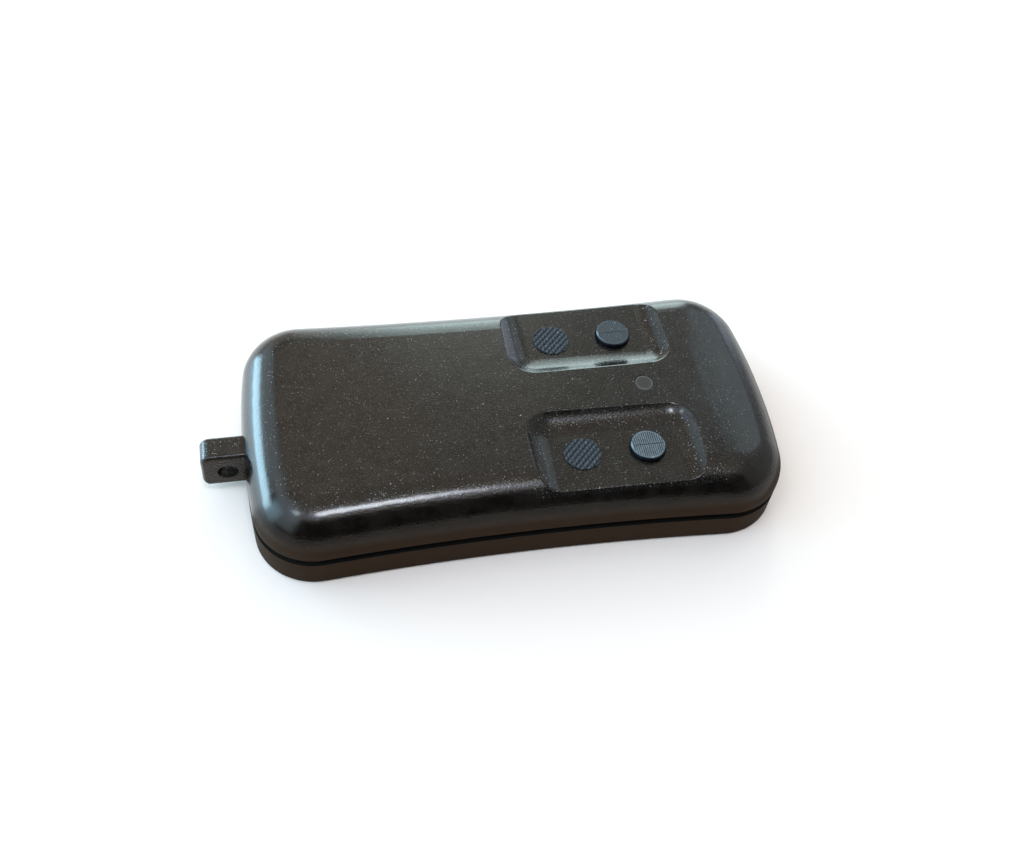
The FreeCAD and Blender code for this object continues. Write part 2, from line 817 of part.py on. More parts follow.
def trimmer_rotor():
    low = board_top + trimmer_height
    rotor = rod(trimmer_rotor_radius, trimmer_rotor_height, trimmer_x, trimmer_y, low)
    slot = block(trimmer_x - trimmer_rotor_radius, trimmer_x + trimmer_rotor_radius,
                 trimmer_y - trimmer_slot / 2, trimmer_y + trimmer_slot / 2,
                 low + trimmer_rotor_height / 2, low + trimmer_rotor_height)
    return rotor.cut(slot)


def output_transistor():
    body = block(transistor_x - transistor_width / 2, transistor_x + transistor_width / 2,
                 transistor_y - transistor_length / 2, transistor_y + transistor_length / 2,
                 board_top, board_top + transistor_height)
    rim = edges_where(body, lambda b: b.ZMin > board_top + transistor_height / 2)
    return body.makeChamfer(transistor_chamfer, rim)


def buffer_capacitor():
    base_half = capacitor_radius + capacitor_base_margin
    base = block(capacitor_x - base_half, capacitor_x + base_half, capacitor_y - base_half,
                 capacitor_y + base_half, board_top, board_top + capacitor_base)
    can = rod(capacitor_radius, capacitor_height - capacitor_base, capacitor_x, capacitor_y,
              board_top + capacitor_base)
    rim = edges_where(can, lambda b: b.ZMin > board_top + capacitor_base + near_zero)
    can = can.makeFillet(capacitor_round, rim)
    return fuse_all(base, [can])


def coil_core():
    shelf = coil_flange_height
    profile = [(0, 0), (coil_core_radius, 0), (coil_core_radius, shelf), (coil_waist_radius, shelf),
               (coil_waist_radius, coil_height - shelf), (coil_core_radius, coil_height - shelf),
               (coil_core_radius, coil_height), (0, coil_height)]
    return lathe(profile, coil_x, coil_y, board_top)


def coil_winding():
    shelf = coil_flange_height
    profile = [(coil_waist_radius, shelf), (coil_winding_radius, shelf),
               (coil_winding_radius, coil_height - shelf), (coil_waist_radius, coil_height - shelf)]
    return lathe(profile, coil_x, coil_y, board_top)


def antenna_loop():
    # Flat strip stood on edge round the button end of the board, on two feet.
    inset = board_inset + antenna_inset
    high = board_top + antenna_height
    ring = prism(inset, high - antenna_strip, high).cut(prism(inset + antenna_width, 0, body_height))
    strip = ring.common(block(antenna_start_x, reach, -reach, reach, 0, body_height))
    posts = prism(inset, board_top, high).cut(prism(inset + antenna_width, 0, body_height))
    posts = posts.common(block(antenna_start_x, antenna_start_x + antenna_strip, -reach, reach, 0,
                               body_height))
    return fuse_all(strip, [posts])


def tiny_row(place):
    parts = []
    for index in range(tiny_parts_per_row):
        x = place[0] + index * tiny_part_pitch
        parts.append(block(x, x + tiny_part_width, place[1], place[1] + tiny_part_length, board_top,
                           board_top + tiny_part_height))
    return parts


def save(name, shape):
    if isinstance(shape, list):
        shape = Part.makeCompound(shape)
    shape.exportStep("parts/" + name + ".step")
    print(name, len(shape.Solids), "solid(s), valid", shape.isValid(), "volume", round(shape.Volume, 2))


def main():
    os.makedirs("parts", exist_ok=True)
    save("upper_shell", upper_shell())
    save("lower_shell", lower_shell())
    for side, label in ((-1, "near"), (1, "far")):
        save("button_" + label, push_button(side))
        save("blank_plug_" + label, blanking_plug(side))
        save("switch_base_" + label, switch_base(side))
        save("switch_cover_" + label, switch_cover(side))
        save("switch_plunger_" + label, switch_plunger(side))
        save("switch_dome_" + label, switch_dome(side))
        save("switch_terminals_" + label, switch_terminals(side))
    save("indicator_lamp", indicator_lamp())
    save("lamp_legs", lamp_legs())
    save("circuit_board", circuit_board())
    save("case_screw", case_screw())
    save("battery", battery())
    save("battery_contact", battery_contact())
    save("spring_contact", spring_contact())
    save("encoder_chip", encoder_chip())
    save("encoder_legs", encoder_legs())
    save("resonator_can", resonator_can())
    save("trimmer_base", trimmer_base())
    save("trimmer_rotor", trimmer_rotor())
    save("output_transistor", output_transistor())
    save("buffer_capacitor", buffer_capacitor())
    save("coil_core", coil_core())
    save("coil_winding", coil_winding())
    save("antenna_loop", antenna_loop())
    save("chip_resistors", tiny_row(resistor_row))
    save("chip_capacitors", tiny_row(tiny_cap_row))


main()
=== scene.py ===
import bpy
import json
import math
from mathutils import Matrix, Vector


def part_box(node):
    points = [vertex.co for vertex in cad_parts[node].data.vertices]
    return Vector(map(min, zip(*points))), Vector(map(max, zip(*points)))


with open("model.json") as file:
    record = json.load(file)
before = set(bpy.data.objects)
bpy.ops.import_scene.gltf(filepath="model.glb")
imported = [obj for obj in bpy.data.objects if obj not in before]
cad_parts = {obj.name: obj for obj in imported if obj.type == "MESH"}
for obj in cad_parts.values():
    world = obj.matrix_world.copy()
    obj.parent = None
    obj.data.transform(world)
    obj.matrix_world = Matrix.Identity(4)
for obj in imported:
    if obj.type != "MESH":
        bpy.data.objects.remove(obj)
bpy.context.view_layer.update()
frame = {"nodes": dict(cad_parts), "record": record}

millimetre = 0.001
print("frame loaded with", len(frame["nodes"]), "nodes")


# small helpers for values and node trees

def mm(*values):
    return tuple(value * millimetre for value in values)


def rgba(colour):
    return (colour[0], colour[1], colour[2], 1.0)


def plug(tree, value, socket):
    if isinstance(value, bpy.types.NodeSocket):
        tree.links.new(value, socket)
    elif isinstance(value, bpy.types.Node):
        tree.links.new(value.outputs[0], socket)
    else:
        socket.default_value = value


def addNode(tree, kind, inputs=None, **settings):
    node = tree.nodes.new(kind)
    for name, value in settings.items():
        setattr(node, name, value)
    for name, value in (inputs or {}).items():
        plug(tree, value, node.inputs[name])
    return node


def mathNode(tree, operation, first, second=0.0):
    return addNode(tree, "ShaderNodeMath", {0: first, 1: second}, operation=operation).outputs[0]


def product(tree, *values):
    result = values[0]
    for value in values[1:]:
        result = mathNode(tree, "MULTIPLY", result, value)
    return result


def linearMap(tree, value, low, high, outLow=0.0, outHigh=1.0, shape="LINEAR"):
    inputs = {"Value": value, "From Min": low, "From Max": high, "To Min": outLow, "To Max": outHigh}
    return addNode(tree, "ShaderNodeMapRange", inputs, interpolation_type=shape).outputs["Result"]


def smoothMap(tree, value, low, high, outLow=0.0, outHigh=1.0):
    return linearMap(tree, value, low, high, outLow, outHigh, "SMOOTHSTEP")


def band(tree, value, rising, falling):
    # 1 between two ramps, each given as the value at 0 and the value at 1
    return product(tree, smoothMap(tree, value, *rising), smoothMap(tree, value, *falling))


def mixColour(tree, factor, first, second):
    node = addNode(tree, "ShaderNodeMix", {"Factor": factor}, data_type="RGBA", clamp_result=False)
    for value, socket in ((first, node.inputs[6]), (second, node.inputs[7])):
        plug(tree, value if isinstance(value, bpy.types.NodeSocket) else rgba(value), socket)
    return node.outputs[2]


def mixValue(tree, factor, first, second):
    return addNode(tree, "ShaderNodeMix", {"Factor": factor, 2: first, 3: second}, data_type="FLOAT").outputs[0]


def noise(tree, place, scale, detail=1.0, roughness=0.6):
    inputs = {"Vector": place, "Scale": scale, "Detail": detail, "Roughness": roughness}
    return addNode(tree, "ShaderNodeTexNoise", inputs).outputs["Fac"]


def splitPlace(tree, place):
    return addNode(tree, "ShaderNodeSeparateXYZ", {0: place}).outputs


def faceTilt(tree):
    # 1 on faces that look up, 0 on upright ones
    return splitPlace(tree, tree.nodes.new("ShaderNodeNewGeometry").outputs["Normal"])[2]


def newGroup(name, inputs, outputs):
    group = bpy.data.node_groups.new(name, "ShaderNodeTree")
    for label, kind, value in inputs:
        socket = group.interface.new_socket(label, in_out="INPUT", socket_type="NodeSocket" + kind)
        if value is not None:
            socket.default_value = value
    for label in outputs:
        group.interface.new_socket(label, in_out="OUTPUT", socket_type="NodeSocketFloat")
    return group, group.nodes.new("NodeGroupInput").outputs, group.nodes.new("NodeGroupOutput").inputs


def useGroup(tree, group, **inputs):
    return addNode(tree, "ShaderNodeGroup", inputs, node_tree=group).outputs


# shared effects

def makeGrainGroup():
    # moulded surface: soft hills with finer pits over them, and a slow cloud for the tone
    cloudScale = 420.0
    group, given, result = newGroup("mouldGrain", [("Vector", "Vector", None), ("Hills", "Float", 2600.0),
                                                   ("Pits", "Float", 8000.0), ("PitShare", "Float", 0.45)],
                                    ["Height", "Cloud"])
    place = given["Vector"]
    hills = noise(group, place, given["Hills"], roughness=0.5)
    pits = noise(group, place, given["Pits"])
    plug(group, mixValue(group, given["PitShare"], hills, pits), result["Height"])
    plug(group, noise(group, place, cloudScale, detail=3.0), result["Cloud"])
    return group


def makeSpeckGroup():
    # dots of different sizes in some cells of a random pattern
    smallestDot = 0.4
    group, given, result = newGroup("dustSpecks", [("Vector", "Vector", None), ("Cells", "Float", 900.0),
                                                   ("Size", "Float", 0.12), ("Amount", "Float", 0.2)], ["Mask"])
    cells = addNode(group, "ShaderNodeTexVoronoi", {"Vector": given["Vector"], "Scale": given["Cells"]})
    chance = addNode(group, "ShaderNodeSeparateColor", {"Color": cells.outputs["Color"]}).outputs
    chosen = mathNode(group, "LESS_THAN", chance["Red"], given["Amount"])
    reach = product(group, given["Size"], linearMap(group, chance["Green"], 0, 1, smallestDot, 1.0))
    near = mathNode(group, "LESS_THAN", cells.outputs["Distance"], reach)
    plug(group, product(group, chosen, near), result["Mask"])
    return group


def makeEdgeGroup():
    # worn edges: where a rounded-off normal leaves the real one
    wearStart, wearFull = 0.995, 0.9
    group, given, result = newGroup("edgeWear", [("Radius", "Float", 0.0003)], ["Mask"])
    rounded = addNode(group, "ShaderNodeBevel", {"Radius": given["Radius"]}, samples=4)
    real = group.nodes.new("ShaderNodeNewGeometry").outputs["Normal"]
    likeness = addNode(group, "ShaderNodeVectorMath", {0: rounded, 1: real}, operation="DOT_PRODUCT")
    plug(group, smoothMap(group, likeness.outputs["Value"], wearStart, wearFull), result["Mask"])
    return group


def makeBrushGroup():
    # drawn or brushed metal: noise stretched along one direction
    group, given, result = newGroup("brushLines", [("Vector", "Vector", None),
                                                   ("Stretch", "Vector", (60.0, 3000.0, 3000.0))], ["Height"])
    stretched = addNode(group, "ShaderNodeVectorMath", {0: given["Vector"], 1: given["Stretch"]},
                        operation="MULTIPLY").outputs[0]
    plug(group, noise(group, stretched, 1.0, detail=3.0), result["Height"])
    return group


grainGroup = makeGrainGroup()
speckGroup = makeSpeckGroup()
edgeGroup = makeEdgeGroup()
brushGroup = makeBrushGroup()


def specks(tree, place, cells, size, amount):
    return useGroup(tree, speckGroup, Vector=place, Cells=cells, Size=size, Amount=amount)["Mask"]


def brushLines(tree, place, stretch):
    return useGroup(tree, brushGroup, Vector=place, Stretch=stretch)["Height"]


def wornEdges(tree, radius):
    return useGroup(tree, edgeGroup, Radius=radius)["Mask"]


def startMaterial(name):
    material = bpy.data.materials.new(name)
    material.use_nodes = True
    tree = material.node_tree
    tree.nodes.clear()
    output = tree.nodes.new("ShaderNodeOutputMaterial")
    shader = tree.nodes.new("ShaderNodeBsdfPrincipled")
    tree.links.new(shader.outputs[0], output.inputs["Surface"])
    return material, tree, shader, tree.nodes.new("ShaderNodeTexCoord").outputs["Object"]


def finishShader(tree, shader, tone, rough, height, depth, more=None):
    bump = addNode(tree, "ShaderNodeBump", {"Height": height, "Strength": 1.0, "Distance": depth})
    sockets = {"Base Color": tone, "Roughness": rough, "Normal": bump, **(more or {})}
    for name, value in sockets.items():
        plug(tree, value, shader.inputs[name])


# the cloud of the grain and most noises stay within this range
cloudRange = (0.3, 0.7)
toneRange = (0.35, 0.65)


# case: grain, painted glints and dust under a clear layer on top, dull side walls with a painted brown
# reflection, painted shade in a black groove

casePlastic = {
    "darkColour": (0.001, 0.0008, 0.0006),
    "lightColour": (0.007, 0.0058, 0.0048),
    "grainColour": (0.028, 0.0255, 0.0225),
    "grainScale": 5200.0,
    "grainRange": (0.46, 0.72),
    "hills": 3600.0,
    "pits": 7600.0,
    "pitShare": 0.35,
    "grainDepth": mm(0.05)[0],
    "wallGrain": 0.15,
    "lugGrain": 2.5,
    "glintCells": 3900.0,
    "glintSize": 0.36,
    "glintAmount": (0.13, 0.24),
    # painted glints: bright dots that stand in for sparkles of light, brighter on the shoulders
    "paintedGlint": (0.115, 0.115, 0.113),
    "brightPaintedGlint": (0.18, 0.19, 0.2),
    "dustCells": 1100.0,
    "dustSize": 0.11,
    "dustAmount": (0.05, 0.07),
    "dustColour": (0.32, 0.32, 0.315),
    "wallDust": 0.15,
    # painted reflection: the side walls are painted brown for the brown light they reflect
    "wallPaintedReflection": (0.021, 0.0075, 0.0008),
    "wallShades": (0.9, 1.1),
    "wallRough": 0.85,
    # painted shade: black for the groove between the shells and the split of the lug
    "paintedShadeBlack": (0.001, 0.001, 0.001),
    # painted reflection: the near face of the lug is painted brown
    "lugFrontPaintedReflection": (0.02, 0.014, 0.009),
    "roughness": (0.15, 0.2),
    "ior": 1.34,
    "tint": (1.0, 0.86, 0.73),
    "coat": 0.55,
    "recessCoat": 0.45,
    "lugCoat": 0.5,
    "wallCoat": 0.03,
    "coatRough": 0.1,
}

# where the areas of the case lie: heights, lengths along X and depths along Y, each as a ramp from 0 to 1
caseAreas = {
    "wallHeight": mm(6.6, 8.8),
    "glossHeight": mm(8.4, 10.7),
    "leftEnd": mm(-29.0, -33.0),
    "leftDrop": mm(3.0)[0],
    "leftDropDepth": mm(-12.5, -9.5),
    "rightEnd": mm(30.0, 34.0),
    "rightRise": mm(1.2)[0],
    "flankHeight": mm(10.9, 11.8),
    "shoulderHeight": mm(10.5, 10.9),
    "shoulderTilt": ((0.8, 0.87), (0.995, 0.97)),
    "recessLength": (mm(-1.5, 0.0), mm(26.5, 25.0)),
    "recessHeight": (mm(10.2, 10.5), mm(11.9, 11.7)),
    "grooveHeight": (mm(4.11, 4.19), mm(5.39, 5.31)),
    "lugStart": mm(-36.1)[0],
    "lugFront": mm(-2.55)[0],
    "splitHeight": mm(4.75)[0],
    "splitWidth": mm(0.126, 0.09),
}


def findCaseAreas(tree, place):
    areas = caseAreas
    across, inward, upward = splitPlace(tree, place)
    lug = mathNode(tree, "LESS_THAN", across, areas["lugStart"])

    def withLug(mask):
        return mathNode(tree, "MAXIMUM", lug, mask)

    # the painted brown reflection on the walls ends lower at the left end of the case and higher at the right
    # end
    drop = product(tree, smoothMap(tree, across, *areas["leftEnd"], 0.0, areas["leftDrop"]),
                   smoothMap(tree, inward, *areas["leftDropDepth"]))
    rise = smoothMap(tree, across, *areas["rightEnd"], 0.0, areas["rightRise"])
    level = mathNode(tree, "SUBTRACT", mathNode(tree, "ADD", upward, drop), rise)

    # the painted glint zone: shoulders tilted where the highlight falls, and the lug
    shoulder = product(tree, band(tree, faceTilt(tree), *areas["shoulderTilt"]),
                       smoothMap(tree, upward, *areas["shoulderHeight"]))
    recess = product(tree, band(tree, across, *areas["recessLength"]),
                     band(tree, upward, *areas["recessHeight"]))
    # painted shade: the groove between the shells
    groove = product(tree, band(tree, upward, *areas["grooveHeight"]), mathNode(tree, "SUBTRACT", 1.0, lug))
    fromSplit = mathNode(tree, "ABSOLUTE", mathNode(tree, "SUBTRACT", upward, areas["splitHeight"]))
    grit = withLug(recess)
    return {
        "lug": lug,
        "recess": recess,
        "groove": groove,
        "aboveWall": withLug(smoothMap(tree, level, *areas["wallHeight"])),
        "glossy": withLug(smoothMap(tree, level, *areas["glossHeight"])),
        "paintedGlintZone": withLug(shoulder),
        "grit": grit,
        "lively": mathNode(tree, "MAXIMUM", grit, smoothMap(tree, upward, *areas["flankHeight"])),
        # the split of the lug, for painted shade
        "split": product(tree, lug, smoothMap(tree, fromSplit, *areas["splitWidth"])),
        # the near face of the lug, for its painted reflection
        "front": product(tree, lug, mathNode(tree, "LESS_THAN", inward, areas["lugFront"])),
    }


def mixCaseTone(tree, place, areas, cloud):
    look = casePlastic
    tone = mixColour(tree, smoothMap(tree, cloud, *toneRange), look["darkColour"], look["lightColour"])
    fine = smoothMap(tree, noise(tree, place, look["grainScale"]), *look["grainRange"])
    tone = mixColour(tree, product(tree, areas["lively"], fine), tone, look["grainColour"])
    # painted glints: bright dots for sparkles of light, more and brighter in the painted glint zone
    glint = specks(tree, place, look["glintCells"], look["glintSize"],
                   linearMap(tree, areas["paintedGlintZone"], 0, 1, *look["glintAmount"]))
    paintedGlint = mixColour(tree, areas["paintedGlintZone"], look["paintedGlint"], look["brightPaintedGlint"])
    tone = mixColour(tree, product(tree, areas["lively"], glint), tone, paintedGlint)
    # painted reflection: brown on the side walls below the gloss
    darkWallReflection, lightWallReflection = [[value * shade for value in look["wallPaintedReflection"]] for shade in look["wallShades"]]
    wallReflectionTone = mixColour(tree, cloud, darkWallReflection, lightWallReflection)
    # painted shade: the groove is painted black
    wallReflectionTone = mixColour(tree, areas["groove"], wallReflectionTone, look["paintedShadeBlack"])
    tone = mixColour(tree, areas["aboveWall"], wallReflectionTone, tone)
    dust = specks(tree, place, look["dustCells"], look["dustSize"],
                  linearMap(tree, areas["grit"], 0, 1, *look["dustAmount"]))
    dust = product(tree, dust, linearMap(tree, areas["lively"], 0, 1, look["wallDust"], 1.0))
    tone = mixColour(tree, dust, tone, look["dustColour"])
    # painted reflection on the near face of the lug
    tone = mixColour(tree, areas["front"], tone, look["lugFrontPaintedReflection"])
    # painted shade along the split of the lug
    return mixColour(tree, areas["split"], tone, look["paintedShadeBlack"])


def makeCasePlastic():
    look = casePlastic
    material, tree, shader, place = startMaterial("case_plastic")
    grain = useGroup(tree, grainGroup, Vector=place, Hills=look["hills"], Pits=look["pits"],
                     PitShare=look["pitShare"])
    areas = findCaseAreas(tree, place)
    rough = linearMap(tree, grain["Cloud"], *cloudRange, *look["roughness"])
    coat = linearMap(tree, areas["recess"], 0, 1, look["coat"], look["recessCoat"])
    coat = mixValue(tree, areas["lug"], coat, look["lugCoat"])
    bare = mathNode(tree, "MAXIMUM", areas["split"], areas["front"])
    coat = product(tree, coat, mathNode(tree, "SUBTRACT", 1.0, bare),
                   linearMap(tree, areas["glossy"], 0, 1, look["wallCoat"], 1.0))
    strength = linearMap(tree, areas["aboveWall"], 0, 1, look["wallGrain"], 1.0)
    strength = mixValue(tree, areas["lug"], strength, look["lugGrain"])
    finishShader(tree, shader, mixCaseTone(tree, place, areas, grain["Cloud"]),
                 mixValue(tree, areas["aboveWall"], look["wallRough"], rough),
                 product(tree, grain["Height"], strength), look["grainDepth"],
                 {"Coat Weight": coat, "Coat Roughness": look["coatRough"],
                  "IOR": look["ior"], "Specular Tint": rgba(look["tint"])})
    return material


# small moulded parts

switchPlastic = {"darkColour": (0.026, 0.026, 0.028), "lightColour": (0.036, 0.036, 0.038), "hills": 5200.0,
                 "pits": 9000.0, "grainDepth": 0.000006, "roughness": (0.36, 0.46),
                 "wearColour": (0.06, 0.06, 0.062), "wearRadius": 0.00015}
chipResin = {"darkColour": (0.022, 0.022, 0.024), "lightColour": (0.034, 0.034, 0.036), "hills": 9000.0,
             "pits": 14000.0, "grainDepth": 0.000008, "roughness": (0.5, 0.62),
             "wearColour": (0.05, 0.05, 0.052), "wearRadius": 0.0001}


def mouldedPlastic(name, look):
    material, tree, shader, place = startMaterial(name)
    grain = useGroup(tree, grainGroup, Vector=place, Hills=look["hills"], Pits=look["pits"])
    tone = mixColour(tree, smoothMap(tree, grain["Cloud"], *toneRange), look["darkColour"], look["lightColour"])
    tone = mixColour(tree, wornEdges(tree, look["wearRadius"]), tone, look["wearColour"])
    rough = linearMap(tree, grain["Cloud"], *cloudRange, *look["roughness"])
    finishShader(tree, shader, tone, rough, grain["Height"], look["grainDepth"])
    return material


# buttons: painted highlights on the rib crests over darker valleys, and tops painted lighter than the black
# sides; diamond points on the blanks, lighter towards their tips in mottled patches

buttonPlastic = {
    "sideColour": (0.0035, 0.005, 0.0075),
    # painted light: the tops are lighter than the black sides, with painted highlights on the rib crests
    "crestHighlight": (0.165, 0.195, 0.21),
    "valleyPaintedLight": (0.022, 0.028, 0.033),
    "faintTopPaintedLight": (0.034, 0.042, 0.047),
    "faintCrestShare": 0.2,
    "crestHighlightShare": (0.7, 1.0),
    "topStart": mm(-0.13, -0.07),
    "ribHeight": mm(-0.063, -0.007),
    "pointColour": (0.07, 0.08, 0.09),
    "pointHeight": mm(-0.3, 0.0),
    "pointShare": (0.5, 1.0),
    "cloudScale": 900.0,
    "mottleScale": 6200.0,
    "mottleDepth": mm(0.01)[0],
    "speckCells": 3000.0,
    "speckSize": 0.32,
    "speckAmount": 0.12,
    "speckGlint": (0.3, 0.34, 0.36),
    "roughness": (0.22, 0.32),
    "ior": 1.45,
}


def makeButtonPlastic(name, kind):
    look = buttonPlastic
    material, tree, shader, place = startMaterial("button_plastic_" + name)
    # heights are measured down from the highest point of the button
    fromTop = mathNode(tree, "SUBTRACT", splitPlace(tree, place)[2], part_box(name)[1][2])
    cloud = noise(tree, place, look["cloudScale"], detail=3.0)
    mottle = noise(tree, place, look["mottleScale"])
    if kind == "blank":
        top = smoothMap(tree, fromTop, *look["pointHeight"])
        crest = product(tree, top, linearMap(tree, mottle, *toneRange, *look["pointShare"]))
        tone = mixColour(tree, crest, look["sideColour"], look["pointColour"])
    else:
        # painted light on the top, and painted highlights on the rib crests
        top = smoothMap(tree, fromTop, *look["topStart"])
        crest = smoothMap(tree, fromTop, *look["ribHeight"])
        highlightShare = linearMap(tree, cloud, *cloudRange, *look["crestHighlightShare"])
        share, valley = (look["faintCrestShare"], "faintTopPaintedLight") if kind == "faint" else (highlightShare, "valleyPaintedLight")
        face = mixColour(tree, product(tree, crest, share), look[valley], look["crestHighlight"])
        tone = mixColour(tree, top, look["sideColour"], face)
    # painted glints: bright specks on the top
    speck = specks(tree, place, look["speckCells"], look["speckSize"], look["speckAmount"])
    tone = mixColour(tree, product(tree, speck, top), tone, look["speckGlint"])
    rough = linearMap(tree, cloud, *cloudRange, *look["roughness"])
    finishShader(tree, shader, tone, rough, mottle, look["mottleDepth"], {"IOR": look["ior"]})
    return material


# lamp: smoky resin, lighter round its rim

lampResin = {
    "middleColour": (0.0195, 0.0156, 0.013),
    "rimColour": (0.065, 0.065, 0.0637),
    "rimRadius": mm(0.92, 1.12),
    "roughness": (0.3, 0.4),
    "waves": 900.0,
    "waveDepth": mm(0.01)[0],
    "ior": 1.5,
    "coat": 0.3,
}


def makeLampResin():
    look = lampResin
    material, tree, shader, place = startMaterial("lamp_resin")
    low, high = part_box("indicator_lamp")
    parts = splitPlace(tree, place)
    offsets = [mathNode(tree, "SUBTRACT", parts[axis], (low[axis] + high[axis]) / 2) for axis in range(2)]
    squares = [product(tree, offset, offset) for offset in offsets]
    radius = mathNode(tree, "SQRT", mathNode(tree, "ADD", *squares))
    rim = smoothMap(tree, radius, *look["rimRadius"])
    cloud = noise(tree, place, look["waves"], detail=2.0, roughness=0.5)
    finishShader(tree, shader, mixColour(tree, rim, look["middleColour"], look["rimColour"]),
                 linearMap(tree, cloud, *cloudRange, *look["roughness"]), cloud, look["waveDepth"],
                 {"IOR": look["ior"], "Coat Weight": look["coat"]})
    return material


# metals: one recipe, each with its own colours, drawing direction and wear

plainMetal = {"colour": (0.66, 0.66, 0.64), "stain": (0.45, 0.44, 0.42), "stretch": (400.0, 3600.0, 3600.0),
              "roughness": (0.22, 0.4), "depth": 0.000003, "stainScale": 900.0, "stainShare": 0.35,
              "stainRange": (0.45, 0.75), "wearRadius": 0.00012, "wearColour": (0.8, 0.8, 0.79)}
tinnedLeads = dict(plainMetal, stain=(0.5, 0.49, 0.46), roughness=(0.25, 0.45), stainScale=2200.0)
screwSteel = dict(plainMetal, colour=(0.55, 0.56, 0.58), stain=(0.5, 0.46, 0.34),
                  stretch=(1800.0, 1800.0, 600.0), roughness=(0.26, 0.42), stainScale=700.0, stainShare=0.3)
contactNickel = dict(plainMetal, colour=(0.7, 0.68, 0.62), stain=(0.52, 0.48, 0.4),
                     stretch=(3600.0, 300.0, 3600.0), roughness=(0.2, 0.34))
canSteel = dict(plainMetal, colour=(0.62, 0.62, 0.63), stain=(0.5, 0.5, 0.5), stretch=(250.0, 4200.0, 4200.0),
                roughness=(0.26, 0.38))
rotorBrass = dict(plainMetal, colour=(0.72, 0.56, 0.3), stain=(0.45, 0.33, 0.16),
                  stretch=(2600.0, 2600.0, 2600.0), wearColour=(0.86, 0.7, 0.42))
copperWire = dict(plainMetal, colour=(0.72, 0.36, 0.2), stain=(0.42, 0.17, 0.08),
                  stretch=(600.0, 600.0, 5200.0), roughness=(0.24, 0.4), wearColour=(0.82, 0.46, 0.28))

# the coil's wire lies in turns, one above the other, with painted shade between the turns
woundWire = {"pitch": mm(0.14)[0], "depth": mm(0.05)[0], "gapShare": 0.12, "gapShade": (0.05, 0.018, 0.01)}


def drawnMetal(name, look, turns=None):
    material, tree, shader, place = startMaterial(name)
    lines = brushLines(tree, place, look["stretch"])
    cloud = noise(tree, place, look["stainScale"], detail=3.0)
    stain = smoothMap(tree, cloud, *look["stainRange"], 0.0, look["stainShare"])
    tone = mixColour(tree, stain, look["colour"], look["stain"])
    tone = mixColour(tree, wornEdges(tree, look["wearRadius"]), tone, look["wearColour"])
    height, depth = lines, look["depth"]
    if turns:
        along = mathNode(tree, "PINGPONG", splitPlace(tree, place)[2], turns["pitch"] / 2)
        height, depth = smoothMap(tree, along, 0.0, turns["pitch"] / 2), turns["depth"]
        # painted shade between the turns
        turnShade = smoothMap(tree, along, turns["pitch"] * turns["gapShare"], 0.0)
        tone = mixColour(tree, turnShade, tone, turns["gapShade"])
    rough = linearMap(tree, mathNode(tree, "ADD", lines, stain), 0.3, 1.0, *look["roughness"])
    finishShader(tree, shader, tone, rough, height, depth, {"Metallic": 1.0})
    return material


# circuit board: green resist over tracks, glass weave and bare edges

boardLaminate = {
    "resist": (0.03, 0.17, 0.07),
    "overTrack": (0.06, 0.27, 0.11),
    "weaveColour": (0.1, 0.3, 0.12),
    "weaveShare": 0.12,
    "weaveScale": 2400.0,
    "edgeColour": (0.42, 0.4, 0.22),
    "edgeTilt": 0.7,
    "trackPitch": mm(1.27)[0],
    "trackHalf": mm(0.1725, 0.1275),
    "areaScale": 120.0,
    "cloudScale": 500.0,
    "cloudShare": 0.2,
    "roughness": (0.28, 0.42),
    "depth": mm(0.02)[0],
}


def makeBoardLaminate():
    look = boardLaminate
    material, tree, shader, place = startMaterial("board_laminate")
    parts = splitPlace(tree, place)

    def lanes(value):
        return smoothMap(tree, mathNode(tree, "PINGPONG", value, look["trackPitch"] / 2), *look["trackHalf"])

    # the tracks run along X in some areas and along Y in the others
    areas = addNode(tree, "ShaderNodeTexVoronoi", {"Vector": place, "Scale": look["areaScale"]})
    chance = addNode(tree, "ShaderNodeSeparateColor", {"Color": areas.outputs["Color"]}).outputs["Red"]
    tracks = mixValue(tree, mathNode(tree, "LESS_THAN", chance, 0.5), lanes(parts[0]), lanes(parts[1]))
    weave = addNode(tree, "ShaderNodeTexChecker", {"Vector": place, "Scale": look["weaveScale"]}).outputs["Fac"]
    cloud = noise(tree, place, look["cloudScale"], detail=3.0)
    tone = mixColour(tree, tracks, look["resist"], look["overTrack"])
    tone = mixColour(tree, product(tree, weave, look["weaveShare"]), tone, look["weaveColour"])
    flat = mathNode(tree, "GREATER_THAN", mathNode(tree, "ABSOLUTE", faceTilt(tree)), look["edgeTilt"])
    tone = mixColour(tree, flat, look["edgeColour"], tone)
    height = mathNode(tree, "ADD", tracks, product(tree, cloud, look["cloudShare"]))
    rough = linearMap(tree, cloud, *cloudRange, *look["roughness"])
    finishShader(tree, shader, tone, rough, height, look["depth"])
    return material


# battery: sleeve with a plain band, bare metal at both ends

batteryJacket = {
    "sleeve": (0.1, 0.11, 0.14),
    "band": (0.55, 0.42, 0.16),
    "bandPlace": mm(-6.6, -5.0),
    "bareEnd": mm(0.45)[0],
    "nub": mm(0.9)[0],
    "metal": (0.66, 0.65, 0.62),
    "wrinkles": (500.0, 2600.0, 2600.0),
    "wrinkleDepth": mm(0.008)[0],
    "roughness": (0.24, 0.36),
}


